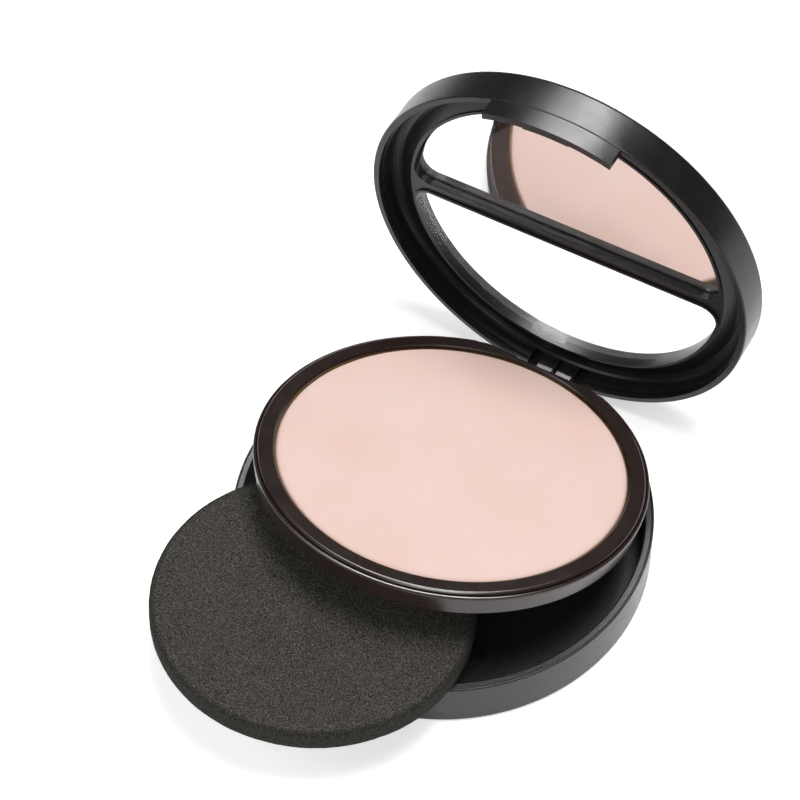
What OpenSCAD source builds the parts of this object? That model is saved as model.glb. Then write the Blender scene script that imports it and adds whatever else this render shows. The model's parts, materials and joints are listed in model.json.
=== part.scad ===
// Round powder compact with a lift-up powder tray, a sponge well below it and
// a lid that holds a mirror and a clear window. It is drawn lying open: the
// tray is raised a little, the lid stands up and the sponge rests on the rim.
// Frame: +Z up, origin at the centre of the base's underside, hinge at +Y.

/* [Case] */
// Outer radius of the base and the lid
case_r = 35; // [34.8:0.1:35.6]
// Height of the base's rim above its underside
base_h = 9.4; // [9.2:0.05:9.45]
// Height of the lid's outer wall
lid_h = 6.65; // [6.4:0.05:8]
// Thickness of the base's outer shell
shell_wall = 0.8; // [0.7:0.05:0.9]
// Inner radius of the sponge well
well_r = 33.5; // [33.4:0.05:33.6]
// Radius of the round on the outer edges
edge_round = 0.8; // [0.4:0.1:1]

/* [Tray] */
// Radius of the tray's top edge
tray_r = 31.95; // [31.5:0.05:32.05]
// Height of the tray's top with the case closed
tray_top = 11.85; // [11.6:0.05:12]
// Radius of the pressed powder
powder_r = 28.9; // [27:0.1:29]
// How far the powder lies below the tray's top
powder_drop = 0.45; // [0.2:0.05:1]

/* [Lid] */
// Radius of the mirror and of the window
pane_r = 28.7; // [27:0.1:28.8]
// Corner radius of the mirror and the window
pane_corner = 3; // [2:0.25:4]
// Half width of the bar between mirror and window
bar_half = 1.2; // [1:0.1:2]
// Thickness of the mirror glass
mirror_t = 1; // [1:0.1:1.6]

/* [Clasp] */
// Width of the clasp tab along the rim
clasp_w = 22.4; // [14:0.2:24]
// How far the clasp tab hangs below the lid's rim
clasp_drop = 3.4; // [2.5:0.1:3.6]

/* [Sponge] */
// Radius of the sponge
sponge_r = 26.25; // [22:0.05:28]
// Thickness of the sponge
sponge_t = 4.5; // [3:0.1:5]
// Sponge tilt, outer side up
sponge_tilt = 6.2; // [5.8:0.1:7]

/* [Hinge and pose] */
// Distance of the hinge axis behind the centre
hinge_y = 32.25; // [32.2:0.01:32.3]
// Height of the hinge axis
hinge_z = 2.6; // [2.6:0.01:2.7]
// Radius of the hinge pin
pin_r = 0.75; // [0.5:0.05:0.9]
// Tray opening angle in the drawn pose
tray_open = 15; // [14.5:0.1:16]
// Lid opening angle in the drawn pose
lid_open = 87.2; // [80:0.1:87.4]

/* [Hidden] */
$fn = 128;

eps = 0.01;
fit_gap = 0.05;                          // between pieces assembled into each other
run_gap = 0.05;                          // between the pin and the knuckles
part_gap = 0.2;                          // between the base's rim and the lid's

// Base
floor_t = 1;
liner_r = case_r - shell_wall - fit_gap;
liner_floor_z = floor_t + 0.02;
well_floor_z = 2;
rim_bevel = 0.25;
rim_flange_t = 1;                        // the liner's top flange, let into the shell's rim
rim_flange_r = case_r - 0.35;
foot_groove_r = 29.5;                    // middle of the shallow groove in the underside
foot_groove_w = 0.8;
foot_groove_d = 0.3;
back_wall_t = 0.9;
back_wall_z = 6.9;
relief_z = 8.8;                          // rim height where the lid swings over it
relief_half_w = 14;

// Hinge
knuckle_r = 2.2;
bore_r = pin_r + run_gap;
bay_half_w = 5.9;                        // opening in the base for the moving arms
bay_front_y = 29.75;
ear_half_w = 8.7;                        // outer face of the base's hinge ears
back_wall_half_w = 18;
tray_arm_x = [3.7, 5.25];
lid_arm_x = [0.45, 3.3];

// Tray
flange_r = 32.6;
flange_bottom_z = 9.75;
ledge_z = tray_top - 0.45;               // step in the tray's edge, with a fine groove behind it
tray_foot_r = 32.1;
arm_end_y = 31.3;                        // the tray's arms start at its back wall
back_relief = 1.7;                       // how far the back wall swings out as the tray opens
tray_bottom_z = 7.3;
tray_floor_z = 8.5;
adhesive_t = 0.15;
pan_t = 0.25;
pan_r = powder_r + 0.03 + pan_t;
pan_rim_z = tray_top - powder_drop + 0.03;
chord_y = 30.2;                          // flat at the back of the tray's flange
chord_step = 0.4;                        // the flat is cut deeper right of chord_step_x
chord_step_x = -3.9;

// Lid
rim_z = base_h + part_gap;
roof_z = rim_z + lid_h;
lid_r = case_r - 0.15;
lid_inner_r = 33.75;
roof_t = 1.3;
bezel_z = roof_z - 3.35;                 // face of the bezel that looks into the case
bezel_t = 2;
bezel_skirt_z = bezel_z - 2.2;           // where the bezel's skirt starts inside the lid's wall
bezel_skirt_r = lid_inner_r - 0.3;
gutter_round = 1.4;                      // the gutter's rounded bottom
gutter_turn = 118;                       // degrees it turns before the ramp up to the panes
gutter_r = bezel_skirt_r - gutter_round;
gutter_z = bezel_z + 1.25;
lip_w = 0.5;
pane_frame_r = pane_r + lip_w + 0.15;    // where the ramp ends
lip_h = 0.35;
silver_t = 0.1;
mirror_z = bezel_z + 0.2;
silver_z = mirror_z + mirror_t + 0.01;
tape_z = silver_z + silver_t;
tape_t = roof_z - roof_t - tape_z;
lens_flange_w = 1.1;
lens_flange_t = 0.5;
lens_top_z = roof_z - 0.05;
slot_x = [[-5.4, -3.55], [-0.4, 0.4], [3.55, 5.4]];
slot_depth = 0.5;
slot_top_z = bezel_z + 0.2;

// Clasp
clasp_t = 1.2;
clasp_z = rim_z - clasp_drop;
clasp_root_h = 2.4;
clasp_recess_gap = 0.3;
clasp_backing_r = 32.5;
hook_h = 0.5;
hook_depth = 0.25;
hook_half_w = 4;

// Sponge
sponge_edge = 1.4;
sponge_pos = [-7.5, -28.8, 10.18];
sponge_turn = -atan2(-sponge_pos[0], -sponge_pos[1]);

// ---------------------------------------------------------------- helpers

// Points of a round corner, for the profiles that are spun about Z
function arc(cx, cy, r, from, to, n = 6) =
    [for (i = [0:n]) let (a = from + (to - from) * i / n) [cx + r * cos(a), cy + r * sin(a)]];

// Turns children about the hinge axis, as opening by that angle does
module opened(angle)
    translate([0, hinge_y, hinge_z])
        rotate([-angle, 0, 0])
            translate([0, -hinge_y, -hinge_z])
                children();

// Half plane y < y0, as a large square
module half_plane_below(y0) translate([-50, y0 - 60]) square([100, 60]);

// Wedge from the corner circle's centre to beyond the corner, on one side
module corner_wedge(cx, cy, side) {
    reach = 8;
    len = norm([cx, cy]);
    polygon([
        [side * cx, cy],
        [side * cx, cy + reach],
        [side * (cx + reach), cy + reach],
        [side * (cx + reach) * 1.2, cy * 0.6],
        [side * cx * (1 + reach / len), cy * (1 + reach / len)]
    ]);
}

// D-shaped outline below a straight edge at y = -edge, with round corners
module d_outline(r, edge, corner) {
    cy = -edge - corner;
    cx = sqrt((r - corner) * (r - corner) - cy * cy);
    difference() {
        intersection() {
            circle(r);
            half_plane_below(-edge);
        }
        for (side = [-1, 1])
            difference() {
                corner_wedge(cx, cy, side);
                translate([side * cx, cy]) circle(corner);
            }
    }
}

// Mirror half (towards the clasp) and window half (towards the hinge)
module mirror_outline(grow = 0)
    d_outline(pane_r + grow, bar_half - grow, pane_corner + grow);

module window_outline(grow = 0)
    mirror([0, 1]) d_outline(pane_r + grow, bar_half - grow, pane_corner + grow);

// Block over the stretch x0..x1, y0..y1, z0..z1
module span(x, y, z)
    translate([x[0], y[0], z[0]])
        cube([x[1] - x[0], y[1] - y[0], z[1] - z[0]]);

// The hinge bore through everything
module pin_bore()
    translate([-20, hinge_y, hinge_z])
        rotate([0, 90, 0])
            cylinder(r = bore_r, h = 40);

// Round knuckle on the hinge axis over the stretch x[0]..x[1]
module knuckle(x)
    translate([x[0], hinge_y, hinge_z])
        rotate([0, 90, 0])
            cylinder(r = knuckle_r, h = x[1] - x[0]);

// Curved block of the front wall, centred on the clasp
module front_arc(r_in, r_out, half_w, z0, z1)
    intersection() {
        translate([0, 0, z0])
            difference() {
                cylinder(r = r_out, h = z1 - z0);
                translate([0, 0, -1]) cylinder(r = r_in, h = z1 - z0 + 2);
            }
        span([-half_w, half_w], [-50, -10], [z0 - 1, z1 + 1]);
    }

// ------------------------------------------------------------------- base

// Space for the hinge arms, open to the back and below
module hinge_bay()
    span([-bay_half_w, bay_half_w], [bay_front_y, 40], [-5, 20]);

// Lower rim at the back, which the lid's rim swings over
module rim_relief()
    span([-relief_half_w, relief_half_w], [25, 40], [relief_z, 20]);

module base_shell() color([0.16, 0.15, 0.15]) {
    difference() {
        union() {
            rotate_extrude()
                polygon(concat(
                    [
                        [0, 0],
                        [foot_groove_r - foot_groove_w / 2, 0],
                        [foot_groove_r - foot_groove_w / 2, foot_groove_d],
                        [foot_groove_r + foot_groove_w / 2, foot_groove_d],
                        [foot_groove_r + foot_groove_w / 2, 0]
                    ],
                    arc(case_r - edge_round, edge_round, edge_round, -90, 0),
                    arc(case_r - rim_bevel, base_h - rim_bevel, rim_bevel, 0, 90, 4),
                    [
                        [rim_flange_r + fit_gap, base_h],
                        [rim_flange_r + fit_gap, base_h - rim_flange_t - fit_gap],
                        [case_r - shell_wall, base_h - rim_flange_t - fit_gap],
                        [case_r - shell_wall, floor_t],
                        [0, floor_t]
                    ]
                ));
            base_ears();
        }
        hinge_bay();
        rim_relief();
        pin_bore();
        clasp_recess();
    }
}

// The two ears that hold the pin, grown from the shell's floor and back wall
module base_ears()
    intersection() {
        cylinder(r = case_r - 0.3, h = 6);
        for (side = [-1, 1])
            base_ear(side);
    }

module base_ear(side) {
    x0 = side > 0 ? bay_half_w : -ear_half_w;
    x1 = side > 0 ? ear_half_w : -bay_half_w;
    span([x0, x1], [bay_front_y + 0.1, case_r], [0.2, hinge_z]);
    knuckle([x0, x1]);
    span([x0, x1], [hinge_y, case_r], [0.2, hinge_z + knuckle_r]);
}

// Recess in the front wall that the clasp tab hangs into; deeper where the hook passes
module clasp_recess() {
    front_arc(
        lid_r - clasp_t - clasp_recess_gap, case_r + 1,
        clasp_w / 2 + clasp_recess_gap,
        clasp_z - clasp_recess_gap, base_h + 1
    );
    front_arc(
        lid_r - clasp_t - hook_depth - clasp_recess_gap, case_r + 1,
        hook_half_w + 0.4,
        clasp_z - clasp_recess_gap, base_h + 1
    );
}

module base_liner() color([0.10, 0.095, 0.095]) {
    difference() {
        union() {
            difference() {
                rotate_extrude()
                    polygon([
                        [0, liner_floor_z],
                        [liner_r, liner_floor_z],
                        [liner_r, base_h - rim_flange_t],
                        [rim_flange_r, base_h - rim_flange_t],
                        [rim_flange_r, base_h - 0.1],
                        [rim_flange_r - 0.1, base_h],
                        [well_r + rim_bevel, base_h],
                        [well_r, base_h - rim_bevel],
                        [well_r, well_floor_z],
                        [0, well_floor_z]
                    ]);
                span([-ear_half_w - 0.3, ear_half_w + 0.3], [bay_front_y - 0.1, 40], [-1, 20]);
            }
            liner_back_wall();
            clasp_backing();
        }
        rim_relief();
        clasp_recess();
        hook_groove();
    }
}

// Flat wall that closes the well in front of the hinge
module liner_back_wall()
    intersection() {
        translate([0, 0, liner_floor_z]) cylinder(r = well_r + 0.3, h = 10);
        span(
            [-back_wall_half_w, back_wall_half_w],
            [bay_front_y - 0.1 - back_wall_t, bay_front_y - 0.1],
            [0, back_wall_z]
        );
    }

// Thicker wall behind the clasp, just clear of the tray's neck
module clasp_backing()
    front_arc(clasp_backing_r, well_r + 0.3, clasp_w / 2 + 1.5, well_floor_z - 0.5, base_h);

// Groove that the clasp's hook snaps into
module hook_groove()
    front_arc(
        lid_r - clasp_t - hook_depth - clasp_recess_gap - 0.15, lid_r,
        hook_half_w + 0.4,
        clasp_z - clasp_recess_gap, clasp_z + hook_h + 0.25
    );

module hinge_pin() color([0.75, 0.75, 0.76])
    translate([-ear_half_w + 0.1, hinge_y, hinge_z])
        rotate([0, 90, 0])
            cylinder(r = pin_r, h = 2 * ear_half_w - 0.2);

// ------------------------------------------------------------------- tray

// Thins the tray's wall towards the back, where it swings out over the base's inner wall.
module tray_back_relief()
    difference() {
        span([-40, 40], [10, 50], [tray_bottom_z - 1, flange_bottom_z]);
        translate([0, -back_relief, 0]) cylinder(r = arm_end_y + back_relief, h = 20);
    }

module tray_frame() color([0.20, 0.16, 0.14])
    opened(tray_open)
        difference() {
            union() {
                rotate_extrude()
                    polygon(concat(
                        [
                            [0, tray_bottom_z],
                            [tray_foot_r - 0.6, tray_bottom_z],
                            [tray_foot_r, tray_bottom_z + 0.5],
                            [flange_r, ledge_z - 0.5]
                        ],
                        arc(flange_r - 0.3, ledge_z - 0.3, 0.3, 0, 90, 3),
                        [
                            [tray_r + 0.25, ledge_z],
                            [tray_r + 0.02, ledge_z - 0.25],
                            [tray_r, ledge_z + 0.1]
                        ],
                        arc(tray_r - 0.45, tray_top - 0.45, 0.45, 0, 90, 4),
                        [
                            [pan_r + 0.25, tray_top],
                            [pan_r + 0.05, tray_top - 0.2],
                            [pan_r + 0.05, tray_floor_z],
                            [0, tray_floor_z]
                        ]
                    ));
                for (side = [-1, 1]) tray_arm(side);
            }
            span([-40, 40], [chord_y, 50], [flange_bottom_z - 0.8, 20]);
            tray_back_relief();
            span([chord_step_x, 40], [chord_y - chord_step, 50], [flange_bottom_z - 0.8, 20]);
            pin_bore();
        }

// Arm from the tray's underside to the pin
module tray_arm(side) {
    x = side > 0 ? tray_arm_x : [-tray_arm_x[1], -tray_arm_x[0]];
    knuckle(x);
    span(x, [bay_front_y + 0.4, hinge_y - 0.4], [hinge_z, tray_bottom_z + 0.2]);
    span(x, [pan_r + 0.15, arm_end_y], [tray_bottom_z, tray_floor_z + 0.6]);
}

module pan_adhesive() color([0.85, 0.83, 0.75])
    opened(tray_open)
        translate([0, 0, tray_floor_z])
            cylinder(r = 20, h = adhesive_t);

module powder_pan() color([0.83, 0.70, 0.45])
    opened(tray_open)
        rotate_extrude()
            polygon([
                [0, tray_floor_z + adhesive_t],
                [pan_r - 0.4, tray_floor_z + adhesive_t],
                [pan_r, tray_floor_z + adhesive_t + 0.4],
                [pan_r, pan_rim_z],
                [pan_r - pan_t, pan_rim_z],
                [pan_r - pan_t, tray_floor_z + adhesive_t + pan_t + 0.2],
                [pan_r - pan_t - 0.2, tray_floor_z + adhesive_t + pan_t],
                [0, tray_floor_z + adhesive_t + pan_t]
            ]);

module powder_cake() color([0.95, 0.80, 0.73])
    opened(tray_open)
        rotate_extrude()
            polygon([
                [0, tray_floor_z + adhesive_t + pan_t],
                [powder_r - 0.3, tray_floor_z + adhesive_t + pan_t],
                [powder_r, tray_floor_z + adhesive_t + pan_t + 0.3],
                [powder_r, tray_top - powder_drop - 0.3],
                [powder_r - 0.3, tray_top - powder_drop],
                [0, tray_top - powder_drop]
            ]);

// -------------------------------------------------------------------- lid

module lid_shell() color([0.16, 0.15, 0.15])
    opened(lid_open)
        difference() {
            union() {
                rotate_extrude()
                    polygon(concat(
                        [[0, roof_z - roof_t], [lid_inner_r, roof_z - roof_t], [lid_inner_r, rim_z]],
                        arc(lid_r - rim_bevel, rim_z + rim_bevel, rim_bevel, -90, 0, 4),
                        arc(lid_r - edge_round, roof_z - edge_round, edge_round, 0, 90),
                        [[0, roof_z]]
                    ));
                for (side = [-1, 1]) lid_arm(side);
            }
            pin_bore();
            translate([0, 0, roof_z - 3])
                linear_extrude(6) window_outline(fit_gap);
            translate([0, 0, lens_top_z - lens_flange_t - fit_gap])
                linear_extrude(3) window_outline(lens_flange_w + fit_gap);
            for (x = slot_x)
                span(x, [20, lid_inner_r + slot_depth], [rim_z - 1, slot_top_z]);
            clasp_socket();
        }

// Arm from the lid's rim down to the pin; its outer face follows the case wall
module lid_arm(side) {
    x = side > 0 ? lid_arm_x : [-lid_arm_x[1], -lid_arm_x[0]];
    knuckle(x);
    intersection() {
        cylinder(r = lid_r, h = rim_z + 1);
        span(x, [hinge_y + 0.4, 40], [hinge_z, rim_z + 0.6]);
    }
}

// Pocket in the lid's wall that the clasp tab is set into
module clasp_socket()
    front_arc(
        lid_inner_r - 1, lid_r - 0.45,
        clasp_w / 2 - 1 + fit_gap,
        rim_z - 1, rim_z + clasp_root_h + fit_gap
    );

module lid_bezel() color([0.13, 0.12, 0.12])
    opened(lid_open)
        difference() {
            union() {
                rotate_extrude()
                    polygon(concat(
                        [
                            [0, bezel_z + bezel_t],
                            [lid_inner_r - fit_gap, bezel_z + bezel_t],
                            [lid_inner_r - fit_gap, bezel_skirt_z],
                            [bezel_skirt_r, bezel_skirt_z]
                        ],
                        arc(gutter_r, gutter_z - gutter_round, gutter_round, 0, gutter_turn),
                        [[pane_frame_r, bezel_z], [0, bezel_z]]
                    ));
                translate([0, 0, bezel_z - lip_h])
                    linear_extrude(lip_h + eps) {
                        mirror_outline(lip_w);
                        window_outline(lip_w);
                    }
            }
            translate([0, 0, bezel_z - 2]) linear_extrude(bezel_t + 4) mirror_outline();
            translate([0, 0, bezel_z - 2]) linear_extrude(bezel_t + 4) window_outline();
            for (x = slot_x)
                span(x, [30.5, 40], [rim_z - 1, slot_top_z]);
            front_arc(lid_inner_r - 1.5, 40, clasp_w / 2, rim_z - 1, rim_z + clasp_root_h + 0.2);
        }

module mirror_glass() color([0.85, 0.88, 0.90])
    opened(lid_open)
        translate([0, 0, mirror_z])
            linear_extrude(mirror_t) mirror_outline(-fit_gap);

module mirror_silvering() color([0.90, 0.90, 0.92])
    opened(lid_open)
        translate([0, 0, silver_z])
            linear_extrude(silver_t) mirror_outline(-0.3);

module mirror_tape() color([0.92, 0.92, 0.90])
    opened(lid_open)
        translate([0, 0, tape_z])
            linear_extrude(tape_t) mirror_outline(-1.5);

module window_lens() color([0.80, 0.88, 0.92, 0.35])
    opened(lid_open) {
        translate([0, 0, bezel_z + 0.3])
            linear_extrude(lens_top_z - bezel_z - 0.3) window_outline(-fit_gap);
        translate([0, 0, lens_top_z - lens_flange_t])
            linear_extrude(lens_flange_t) window_outline(lens_flange_w);
    }

module clasp_tab() color([0.17, 0.16, 0.16])
    opened(lid_open) {
        front_arc(lid_r - clasp_t, lid_r, clasp_w / 2, clasp_z, rim_z - 0.06);
        front_arc(lid_r - clasp_t, lid_r - 0.5, clasp_w / 2 - 1, rim_z - 0.2, rim_z + clasp_root_h);
        front_arc(lid_r - clasp_t - hook_depth, lid_r - 0.3, hook_half_w, clasp_z, clasp_z + hook_h);
    }

// ----------------------------------------------------------------- sponge

module sponge() color([0.25, 0.24, 0.21])
    translate(sponge_pos)
        rotate([0, 0, sponge_turn])
            rotate([-sponge_tilt, 0, 0])
                rotate_extrude()
                    polygon(concat(
                        [[0, 0]],
                        arc(sponge_r - sponge_edge, sponge_edge, sponge_edge, -90, 0),
                        arc(sponge_r - sponge_edge, sponge_t - sponge_edge, sponge_edge, 0, 90),
                        [[0, sponge_t]]
                    ));

base_shell();
base_liner();
hinge_pin();
tray_frame();
pan_adhesive();
powder_pan();
powder_cake();
lid_shell();
lid_bezel();
mirror_glass();
mirror_silvering();
mirror_tape();
window_lens();
clasp_tab();
sponge();
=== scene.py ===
"""Looks of the powder compact: materials, the foam sponge, the floor, the light and the camera.

All lengths are in metres, in the frame of the CAD model: +Z up, hinge at +Y.
"""

import json
import math

import bmesh
import bpy
from mathutils import Matrix, Vector, noise


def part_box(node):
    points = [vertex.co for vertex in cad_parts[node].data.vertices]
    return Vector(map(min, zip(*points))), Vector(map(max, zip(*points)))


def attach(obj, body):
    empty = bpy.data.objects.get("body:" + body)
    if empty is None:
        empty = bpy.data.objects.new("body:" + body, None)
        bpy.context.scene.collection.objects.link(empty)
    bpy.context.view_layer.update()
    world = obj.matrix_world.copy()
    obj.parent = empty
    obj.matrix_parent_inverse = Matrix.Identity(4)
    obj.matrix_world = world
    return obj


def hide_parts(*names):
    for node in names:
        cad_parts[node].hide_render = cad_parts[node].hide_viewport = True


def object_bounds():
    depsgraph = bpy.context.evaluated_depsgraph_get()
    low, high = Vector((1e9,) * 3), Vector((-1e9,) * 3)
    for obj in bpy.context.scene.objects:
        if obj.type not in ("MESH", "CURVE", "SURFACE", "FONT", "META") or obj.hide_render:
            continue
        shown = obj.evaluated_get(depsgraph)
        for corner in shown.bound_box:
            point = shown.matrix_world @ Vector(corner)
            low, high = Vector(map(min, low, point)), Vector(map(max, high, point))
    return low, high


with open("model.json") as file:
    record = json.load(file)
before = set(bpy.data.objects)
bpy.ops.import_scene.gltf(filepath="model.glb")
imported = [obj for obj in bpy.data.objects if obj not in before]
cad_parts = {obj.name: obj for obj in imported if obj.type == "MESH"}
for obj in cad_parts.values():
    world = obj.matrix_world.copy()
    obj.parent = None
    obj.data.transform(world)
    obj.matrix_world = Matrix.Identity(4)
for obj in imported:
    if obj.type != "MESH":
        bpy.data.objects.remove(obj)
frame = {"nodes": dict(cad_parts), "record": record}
cad_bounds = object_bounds()
MM = 0.001
EDGE_START = 0.985      # cosine between true and rounded normal where an edge begins to get its painted highlight and wear
EDGE_END = EDGE_START - 1 / 6
SKIN_WAVES = 90         # noise frequencies of the sponge's skin, per metre
SKIN_GRAIN = 900
SKIN_PORES = 2300


# ---------------------------------------------------------------- node helpers

class Looks:
    """One material and short ways to add nodes to it."""

    def __init__(self, name):
        self.material = bpy.data.materials.new(name)
        self.material.use_nodes = True
        self.tree = self.material.node_tree
        self.tree.nodes.clear()
        self.shader = self.add("ShaderNodeBsdfPrincipled")
        out = self.add("ShaderNodeOutputMaterial")
        self.tree.links.new(self.shader.outputs["BSDF"], out.inputs["Surface"])
        self.position = self.add("ShaderNodeTexCoord").outputs["Object"]

    def add(self, kind, **settings):
        node = self.tree.nodes.new(kind)
        for key, value in settings.items():
            setattr(node, key, value)
        return node

    def feed(self, socket, value):
        """Connects an output to a socket, or sets the socket to a constant."""
        if isinstance(value, bpy.types.NodeSocket):
            self.tree.links.new(value, socket)
        else:
            socket.default_value = value

    def constant(self, **values):
        """Sets the shader's own sockets, such as Coat_Weight=0.2."""
        for key, value in values.items():
            self.shader.inputs[key.replace("_", " ")].default_value = value

    def noise(self, size, detail=2.0, roughness=0.5, distortion=0.0, stretch=None):
        """Noise whose blobs are about size metres across."""
        node = self.add("ShaderNodeTexNoise")
        node.inputs["Scale"].default_value = 1.0 / size
        node.inputs["Detail"].default_value = detail
        node.inputs["Roughness"].default_value = roughness
        node.inputs["Distortion"].default_value = distortion
        where = self.position
        if stretch:
            mapping = self.add("ShaderNodeMapping")
            mapping.inputs["Scale"].default_value = stretch
            self.feed(mapping.inputs["Vector"], where)
            where = mapping.outputs["Vector"]
        self.feed(node.inputs["Vector"], where)
        return node.outputs["Fac"]

    def cells(self, size):
        """Distance to the nearest cell point, for pores."""
        node = self.add("ShaderNodeTexVoronoi", feature="F1")
        node.inputs["Scale"].default_value = 1.0 / size
        self.feed(node.inputs["Vector"], self.position)
        return node.outputs["Distance"]

    def remap(self, value, low, high, to_low, to_high):
        node = self.add("ShaderNodeMapRange")
        self.feed(node.inputs["Value"], value)
        for name, number in zip(("From Min", "From Max", "To Min", "To Max"), (low, high, to_low, to_high)):
            node.inputs[name].default_value = number
        return node.outputs["Result"]

    def math(self, operation, a, b=0.0):
        node = self.add("ShaderNodeMath", operation=operation)
        self.feed(node.inputs[0], a)
        self.feed(node.inputs[1], b)
        return node.outputs["Value"]

    def mix(self, amount, a, b):
        """Colour a where amount is 0, b where it is 1."""
        node = self.add("ShaderNodeMix", data_type="RGBA")
        self.feed(node.inputs["Factor"], amount)
        self.feed(node.inputs[6], a)
        self.feed(node.inputs[7], b)
        return node.outputs[2]

    def rounded_normal(self, radius):
        """Normal that rounds sharp edges over radius metres."""
        node = self.add("ShaderNodeBevel", samples=6)
        node.inputs["Radius"].default_value = radius
        return node.outputs["Normal"]

    def edges(self, radius):
        """1 on edges sharper than radius metres, 0 on flats."""
        dot = self.add("ShaderNodeVectorMath", operation="DOT_PRODUCT")
        self.feed(dot.inputs[0], self.rounded_normal(radius))
        self.feed(dot.inputs[1], self.add("ShaderNodeNewGeometry").outputs["Normal"])
        return self.remap(dot.outputs["Value"], EDGE_START, EDGE_END, 0.0, 1.0)

    def bump(self, height, depth, strength=1.0, normal=None):
        node = self.add("ShaderNodeBump")
        node.inputs["Strength"].default_value = strength
        node.inputs["Distance"].default_value = depth
        self.feed(node.inputs["Height"], height)
        if normal is not None:
            self.feed(node.inputs["Normal"], normal)
        return node.outputs["Normal"]

    def distance_to(self, point):
        node = self.add("ShaderNodeVectorMath", operation="DISTANCE")
        self.feed(node.inputs[0], self.position)
        node.inputs[1].default_value = point
        return node.outputs["Value"]


def rgb(red, green, blue):
    return (red, green, blue, 1.0)


def shade(colour, factor):
    return tuple(min(1.0, channel * factor) for channel in colour[:3]) + (1.0,)


# -------------------------------------------------------------------- materials

def moulded_plastic(name, colour, roughness, grain_size=0.12 * MM, grain_depth=0.003 * MM,
                    edge_wear_highlight_gain=1.9, edge_radius=0.1 * MM, ior=1.5):
    """Injection-moulded plastic: fine grain, faint handling smudges, and edges a little smoother and painted
    lighter, partly as rubbed wear and partly as a painted highlight line.
    """
    look = Looks(name)
    clouds = look.noise(9 * MM, detail=3)
    smudges = look.noise(4 * MM, detail=3)
    grain = look.noise(grain_size, detail=2)
    scuffs = look.noise(1.3 * MM, detail=6, roughness=0.7, stretch=(1, 1, 3.5))
    base = look.mix(look.remap(clouds, 0.3, 0.7, 0, 1), shade(colour, 0.86), shade(colour, 1.14))
    # edges are painted lighter: partly rubbed wear, partly a painted highlight line along each edge
    edge_wear_and_highlight = look.math("MULTIPLY", look.edges(edge_radius), look.remap(scuffs, 0.35, 0.65, 0.35, 1.0))
    look.feed(look.shader.inputs["Base Color"], look.mix(edge_wear_and_highlight, base, shade(colour, edge_wear_highlight_gain)))
    rough = look.remap(smudges, 0.3, 0.7, roughness - 0.03, roughness + 0.04)
    rough = look.math("SUBTRACT", rough, look.math("MULTIPLY", edge_wear_and_highlight, 0.05))
    look.feed(look.shader.inputs["Roughness"], rough)
    look.feed(look.shader.inputs["Normal"], look.bump(grain, grain_depth))
    look.constant(IOR=ior)
    return look.material


def pressed_powder(name, colour, flush, centre, radius):
    """Pressed powder: very fine grain, a darker, pinker ring along its edge, and soft pink clouds."""
    look = Looks(name)
    clouds = look.noise(16 * MM, detail=2)
    dust = look.noise(0.5 * MM, detail=8, roughness=0.75)
    grains = look.noise(0.10 * MM, detail=3, roughness=0.6)
    from_centre = look.distance_to(centre)
    edge = look.remap(from_centre, radius - 1.1 * MM, radius, 0.0, 1.0)
    base = look.mix(look.remap(clouds, 0.3, 0.7, 0, 1), colour, flush)
    base = look.mix(look.remap(dust, 0.35, 0.7, 0.0, 0.10), base, shade(colour, 1.25))
    base = look.mix(look.math("MULTIPLY", edge, 0.55), base, shade(flush, 0.86))
    look.feed(look.shader.inputs["Base Color"], base)
    look.feed(look.shader.inputs["Roughness"], look.remap(dust, 0.3, 0.7, 0.78, 0.92))
    height = look.math("ADD", look.math("MULTIPLY", dust, 0.6), look.math("MULTIPLY", grains, 0.4))
    press_marks = look.noise(7 * MM, detail=1)
    normal = look.bump(press_marks, 0.015 * MM, 0.5)
    look.feed(look.shader.inputs["Normal"], look.bump(height, 0.010 * MM, 0.7, normal))
    look.constant(IOR=1.4, Specular_IOR_Level=0.25, Sheen_Weight=0.12, Sheen_Roughness=0.6)
    look.constant(Subsurface_Weight=0.08, Subsurface_Scale=0.0006)
    return look.material


def metal(name, colour, roughness, streaks=(1, 1, 14), pits=0.004 * MM):
    """Sheet or wire metal with drawing streaks and small pits."""
    look = Looks(name)
    lines = look.noise(0.35 * MM, detail=6, roughness=0.65, stretch=streaks)
    clouds = look.noise(5 * MM, detail=3)
    base = look.mix(look.remap(clouds, 0.3, 0.7, 0, 1), shade(colour, 0.85), shade(colour, 1.1))
    look.feed(look.shader.inputs["Base Color"], base)
    look.feed(look.shader.inputs["Roughness"], look.remap(lines, 0.3, 0.7, roughness - 0.07, roughness + 0.1))
    look.feed(look.shader.inputs["Normal"], look.bump(lines, pits, 0.6))
    look.constant(Metallic=1.0)
    return look.material


def clear(name, tint, ior, alpha, smear=0.01):
    """Clear glass or acrylic with faint smears on its faces."""
    look = Looks(name)
    smears = look.noise(6 * MM, detail=5, distortion=2.0)
    waves = look.noise(14 * MM, detail=1)
    look.feed(look.shader.inputs["Roughness"], look.remap(smears, 0.55, 0.85, 0.0, smear))
    tinted = look.mix(look.remap(waves, 0.3, 0.7, 0, 1), shade(tint, 0.985), tint)
    look.feed(look.shader.inputs["Base Color"], tinted)
    look.constant(IOR=ior, Transmission_Weight=1.0, Alpha=alpha)
    return look.material


def silver_coating(name):
    look = Looks(name)
    spots = look.noise(1.5 * MM, detail=6)
    clouds = look.noise(12 * MM, detail=2)
    tint = look.mix(look.remap(clouds, 0.3, 0.7, 0, 1), rgb(0.93, 0.94, 0.94), rgb(0.96, 0.965, 0.965))
    look.feed(look.shader.inputs["Base Color"], tint)
    look.feed(look.shader.inputs["Roughness"], look.remap(spots, 0.6, 0.8, 0.0, 0.02))
    look.constant(Metallic=1.0)
    return look.material


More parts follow.
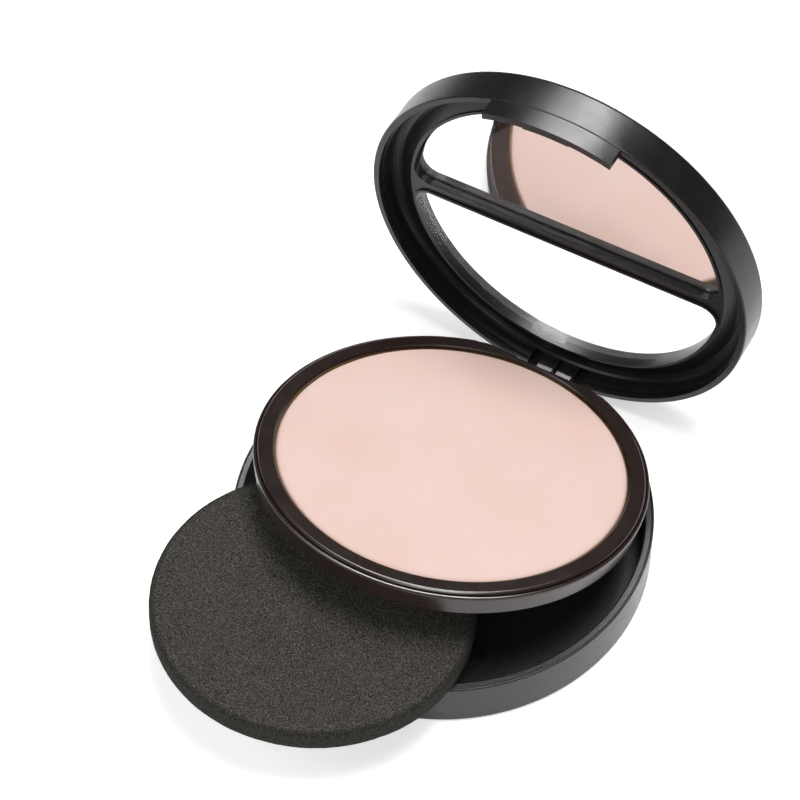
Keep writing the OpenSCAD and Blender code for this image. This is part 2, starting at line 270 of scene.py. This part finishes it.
def soft_filler(name, colour, size, depth):
    """Glue or foam tape: dull and uneven."""
    look = Looks(name)
    lumps = look.noise(size, detail=5, roughness=0.6)
    base = look.mix(look.remap(lumps, 0.3, 0.7, 0, 1), shade(colour, 0.88), shade(colour, 1.06))
    look.feed(look.shader.inputs["Base Color"], base)
    look.feed(look.shader.inputs["Roughness"], look.remap(lumps, 0.3, 0.7, 0.55, 0.8))
    look.feed(look.shader.inputs["Normal"], look.bump(lumps, depth, 0.8))
    return look.material


def foam(name, colour, centre, radius):
    """Fine-pored foam: two sizes of pores with painted shade inside them, dark and light specks, and painted
    shade on its cut edge.
    """
    look = Looks(name)
    pores = look.cells(0.45 * MM)
    small_pores = look.cells(0.25 * MM)
    clouds = look.noise(7 * MM, detail=3)
    fuzz = look.noise(0.19 * MM, detail=3, roughness=0.8)
    side_painted_shade = look.remap(look.distance_to(centre), radius - 1.0 * MM, radius - 0.3 * MM, 0.0, 1.0)
    walls = look.math("ADD", look.math("MULTIPLY", pores, 0.7), look.math("MULTIPLY", small_pores, 0.5))
    height = look.math("ADD", walls, look.math("MULTIPLY", fuzz, 0.5))
    base = look.mix(look.remap(clouds, 0.3, 0.7, 0, 1), shade(colour, 0.9), shade(colour, 1.1))
    base = look.mix(look.remap(fuzz, 0.38, 0.5, 0.9, 0.0), base, shade(colour, 0.1))
    base = look.mix(look.remap(fuzz, 0.5, 0.62, 0.0, 0.95), base, shade(colour, 4.0))
    # pore centres are painted dark: painted shade inside the pores
    base = look.mix(look.remap(walls, 0.25, 0.4, 0.8, 0.0), base, shade(colour, 0.1))
    # the side near the cut edge is painted darker: painted shade, as the light comes from above
    base = look.mix(look.math("MULTIPLY", side_painted_shade, 0.6), base, shade(colour, 0.2))
    look.feed(look.shader.inputs["Base Color"], base)
    look.feed(look.shader.inputs["Roughness"], look.remap(fuzz, 0.3, 0.7, 0.85, 1.0))
    look.feed(look.shader.inputs["Normal"], look.bump(height, 0.25 * MM))
    look.constant(Specular_IOR_Level=0.15)
    return look.material


def middle(node):
    low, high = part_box(node)
    return (Vector(low) + Vector(high)) / 2


def cad_points(node):
    return [vertex.co.copy() for vertex in frame["nodes"][node].data.vertices]


def powder_top():
    """Centre of the powder's top face, and the powder's radius."""
    points = cad_points("powder_cake")
    centre = middle("powder_cake")
    hinge = next(joint for joint in frame["record"]["behaviour"]["joints"] if joint["name"] == "tray_hinge")
    tilt = math.radians(-hinge["range_deg"][0])
    up = Vector((0, math.sin(tilt), math.cos(tilt)))
    height = max((point - centre).dot(up) for point in points)
    radius = max(((point - centre) - up * (point - centre).dot(up)).length for point in points)
    return centre + up * height, radius


CASE = rgb(0.020, 0.019, 0.019)
LID = rgb(0.008, 0.008, 0.009)
TRAY = rgb(0.021, 0.012, 0.010)
powder_centre, powder_radius = powder_top()

MATERIALS = {
    "base_shell": moulded_plastic("case_outer", CASE, 0.27, edge_wear_highlight_gain=2.0, ior=1.34),
    "base_liner": moulded_plastic("case_inner", rgb(0.014, 0.013, 0.013), 0.42, grain_size=0.3 * MM,
                                  grain_depth=0.05 * MM, edge_wear_highlight_gain=3.0, ior=1.6),
    "hinge_pin": metal("pin_steel", rgb(0.55, 0.55, 0.56), 0.3, streaks=(14, 1, 1)),
    "tray_frame": moulded_plastic("tray_plastic", TRAY, 0.22, edge_wear_highlight_gain=1.8, ior=1.5),
    "pan_adhesive": soft_filler("glue", rgb(0.70, 0.66, 0.52), 1.2 * MM, 0.03 * MM),
    # the pan's metal is painted very dark: painted shade for the dark line in the gap between the powder and
    # the tray
    "powder_pan": metal("pan_metal", rgb(0.15, 0.09, 0.04), 0.4),
    "powder_cake": pressed_powder("powder", rgb(0.840, 0.626, 0.565), rgb(0.825, 0.585, 0.515),
                                  powder_centre, powder_radius),
    "lid_shell": moulded_plastic("lid_outer", LID, 0.28, edge_wear_highlight_gain=1.6, ior=1.42),
    "lid_bezel": moulded_plastic("lid_inner", rgb(0.009, 0.009, 0.010), 0.33, edge_wear_highlight_gain=1.8, ior=1.42),
    "mirror_glass": clear("clear_glass", rgb(0.985, 0.995, 0.99), 1.5, 0.03, smear=0.0),
    "mirror_silvering": silver_coating("silvering"),
    "mirror_tape": soft_filler("tape", rgb(0.82, 0.82, 0.80), 0.4 * MM, 0.02 * MM),
    "window_lens": clear("clear_plastic", rgb(0.985, 0.99, 0.99), 1.49, 0.05),
    "clasp_tab": moulded_plastic("clasp_plastic", LID, 0.28, edge_wear_highlight_gain=1.6, ior=1.42),
}

for node_name, material in MATERIALS.items():
    for slot in frame["nodes"][node_name].material_slots:
        slot.material = material


# ----------------------------------------------------------------------- sponge

def sponge_frame():
    """Centre, outward, sideways and up directions of the sponge, its radius and its thickness."""
    slide = next(joint for joint in frame["record"]["behaviour"]["joints"] if joint["name"] == "sponge_slide")
    outward = Vector(slide["axis"]).normalized()
    sideways = Vector((-outward.y, outward.x, 0)).normalized()
    up = outward.cross(sideways)
    if up.z < 0:
        up = -up
    centre = middle("sponge")
    points = [point - centre for point in cad_points("sponge")]
    half = max(abs(point.dot(up)) for point in points)
    radius = max((point - up * point.dot(up)).length for point in points)
    return centre, outward, sideways, up, radius, half


def sponge_profile(radius, half, top_edge, bottom_edge, step):
    """(radius, height) of the rings from the top's middle over the cut edge to the bottom's middle."""
    def face(edge):
        flat = radius - edge
        count = round(flat / step)
        return [(flat * i / count, half) for i in range(1, count)]

    def corner(edge):
        count = round(edge * math.pi / 2 / step) + 1
        turns = [math.pi / 2 * i / count for i in range(count + 1)]
        return [(radius - edge + edge * math.sin(a), half - edge + edge * math.cos(a)) for a in turns]

    side_top = half - top_edge
    side_bottom = bottom_edge - half
    count = round((side_top - side_bottom) / step)
    side = [(radius, side_top + (side_bottom - side_top) * i / count) for i in range(1, count)]
    below = face(bottom_edge) + corner(bottom_edge)
    return face(top_edge) + corner(top_edge) + side + [(r, -h) for r, h in reversed(below)]


def foam_sponge(name):
    """A die-cut foam disc: rounded edge, soft unevenness and open pores in its skin."""
    centre, outward, sideways, up, radius, half = sponge_frame()
    radius -= 0.05 * MM
    half -= 0.04 * MM
    step = 0.36 * MM
    around = 420
    mesh = bmesh.new()

    def place(r, angle, h):
        spot = outward * (r * math.cos(angle)) + sideways * (r * math.sin(angle))
        spot = spot + up * h
        away = (outward * math.cos(angle) + sideways * math.sin(angle)) * (r / radius) ** 8
        away = away + up * (h / half) ** 3
        soft = noise.noise(spot * SKIN_WAVES) * 0.07 * MM
        skin = noise.noise(spot * SKIN_GRAIN) * 0.035 * MM
        pores = -abs(noise.noise(spot * SKIN_PORES + Vector((5, 2, 9)))) * 0.07 * MM
        return mesh.verts.new(centre + spot + away.normalized() * (soft * 0.5 + skin + pores))

    rings = []
    for r, h in sponge_profile(radius, half, 0.8 * MM, 1.4 * MM, step):
        rings.append([place(r, 2 * math.pi * i / around, h) for i in range(around)])
    for inner, outer in zip(rings, rings[1:]):
        for i in range(around):
            j = (i + 1) % around
            mesh.faces.new((inner[i], outer[i], outer[j], inner[j]))
    top = mesh.verts.new(centre + up * half)
    bottom = mesh.verts.new(centre - up * half)
    for i in range(around):
        j = (i + 1) % around
        mesh.faces.new((top, rings[0][i], rings[0][j]))
        mesh.faces.new((bottom, rings[-1][j], rings[-1][i]))
    for face in mesh.faces:
        face.smooth = True
    bmesh.ops.recalc_face_normals(mesh, faces=mesh.faces)
    data = bpy.data.meshes.new(name)
    mesh.to_mesh(data)
    mesh.free()
    piece = bpy.data.objects.new(name, data)
    bpy.context.collection.objects.link(piece)
    data.materials.append(foam("foam", rgb(0.043, 0.040, 0.034), centre, radius))
    return piece


sponge = foam_sponge("foam_sponge")
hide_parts("sponge")
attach(sponge, "sponge")


# -------------------------------------------------------------- floor and light

def pale_floor(glow):
    """A pale table top that glows a little, as a light table does."""
    data = bpy.data.meshes.new("floor")
    reach = 3.0
    drop = 0.05 * MM
    around = ((-1, -1), (1, -1), (1, 1), (-1, 1))
    corners = [(x * reach, y * reach, -drop) for x, y in around]
    data.from_pydata(corners, [], [(0, 1, 2, 3)])
    floor = bpy.data.objects.new("floor", data)
    bpy.context.collection.objects.link(floor)
    look = Looks("floor_white")
    specks = look.noise(30 * MM, detail=3)
    paper = look.mix(specks, rgb(0.90, 0.90, 0.90), rgb(0.92, 0.92, 0.92))
    look.feed(look.shader.inputs["Base Color"], paper)
    look.constant(Roughness=0.7, Specular_IOR_Level=0.2)
    look.constant(Emission_Color=rgb(1.0, 1.0, 1.0), Emission_Strength=glow)
    data.materials.append(look.material)


def soft_box(name, place, aim, width, height, watts, colour=(1, 1, 1), only_gloss=False):
    """An area light; with only_gloss it shows in reflections and lights nothing else."""
    light = bpy.data.lights.new(name, "AREA")
    light.shape = "RECTANGLE"
    light.size = width
    light.size_y = height
    light.energy = watts
    light.color = colour
    lamp = bpy.data.objects.new(name, light)
    lamp.location = place
    lamp.rotation_euler = (Vector(aim) - Vector(place)).to_track_quat("-Z", "Y").to_euler()
    lamp.visible_diffuse = not only_gloss
    bpy.context.collection.objects.link(lamp)


def white_surroundings(strength):
    world = bpy.data.worlds.new("studio")
    world.use_nodes = True
    background = world.node_tree.nodes["Background"]
    background.inputs["Color"].default_value = rgb(1.0, 1.0, 1.0)
    background.inputs["Strength"].default_value = strength
    bpy.context.scene.world = world


low, high = (Vector(corner) for corner in cad_bounds)
heart = (low + high) / 2
pale_floor(0.55)
white_surroundings(0.10)
soft_box("lid_glow", heart + Vector((-0.10, 0.34, 0.60)), heart, 0.34, 0.18, 5.2, only_gloss=True)
soft_box("overhead", heart + Vector((0.12, 0.04, 0.72)), heart, 0.35, 0.25, 4.3)
soft_box("key", heart + Vector((-0.45, -0.40, 0.55)), heart, 0.40, 0.40, 1.5, (0.95, 0.98, 1.0))
soft_box("front", heart + Vector((0.25, -0.60, 0.50)), heart, 0.50, 0.30, 1.7)
bpy.context.scene.view_settings.view_transform = "Standard"


# ----------------------------------------------------------------------- camera

def add_camera(aim, distance, azimuth, elevation, roll, lens):
    """Looks at aim from azimuth degrees to the right of the front, elevation degrees up."""
    turn = math.radians(azimuth)
    rise = math.radians(elevation)
    back = Vector((math.sin(turn) * math.cos(rise), -math.cos(turn) * math.cos(rise), math.sin(rise)))
    right = (-back).cross(Vector((0, 0, 1))).normalized()
    up = right.cross(-back)
    lean = math.radians(roll)
    x_axis = right * math.cos(lean) + up * math.sin(lean)
    y_axis = up * math.cos(lean) - right * math.sin(lean)
    data = bpy.data.cameras.new("camera")
    data.lens = lens
    data.sensor_width = 36.0
    data.clip_start = 0.01
    data.clip_end = 50.0
    camera = bpy.data.objects.new("camera", data)
    turned = Matrix((x_axis, y_axis, back)).transposed().to_4x4()
    camera.matrix_world = Matrix.Translation(aim + back * distance) @ turned
    bpy.context.collection.objects.link(camera)
    bpy.context.scene.camera = camera


case_middle = middle("base_shell")
add_camera(
    aim=Vector((case_middle.x - 21.5 * MM, case_middle.y + 22.6 * MM, 0)),
    distance=433.3 * MM, azimuth=31.91, elevation=52.38, roll=-1.98, lens=110.5,
)
